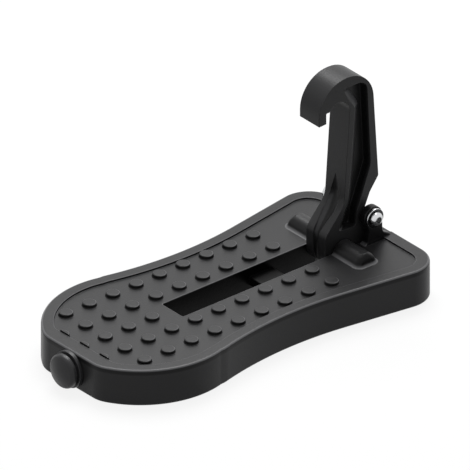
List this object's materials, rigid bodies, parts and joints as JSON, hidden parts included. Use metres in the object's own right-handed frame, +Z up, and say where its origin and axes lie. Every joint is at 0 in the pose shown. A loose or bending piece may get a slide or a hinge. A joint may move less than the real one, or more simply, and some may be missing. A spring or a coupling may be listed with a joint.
{
  "type": "car door latch step",
  "caption": "Cast foot plate with a tread of round studs and a folding hook that hangs on a car door's striker; the hook leans on a bolt across two ears.",
  "frame": {"origin": "on the floor below the middle of the whole length, bumper included, with the plate lying flat and the hook upright", "axes": "+X from the bumper end to the hinge end, +Y across the plate, +Z up out of the deck"},
  "size_m": [0.1616, 0.078, 0.09],
  "materials": {
    "painted_casting": "fine satin black paint on cast aluminium",
    "painted_hook": "satin black paint on cast aluminium",
    "zinc_steel": "bright zinc plated steel",
    "nylon": "natural nylon ring",
    "black_rubber": "smooth black rubber"
  },
  "bodies": {
    "plate": {"step_plate": "painted_casting", "hinge_pin": "zinc_steel", "stop_bolt": "zinc_steel", "bolt_washer": "zinc_steel", "nut_washer": "zinc_steel", "lock_nut": "zinc_steel", "nut_insert": "nylon", "end_bumper": "black_rubber", "bumper_screw": "zinc_steel", "bumper_washer": "zinc_steel"},
    "hook": {"hook_arm": "painted_hook"}
  },
  "joints": [
    {"name": "hook_fold", "type": "hinge", "parent": "plate", "child": "hook", "pos_m": [0.05725, 0, 0.0148], "axis": [0, -1, 0], "range_deg": [0, 90]}
  ]
}
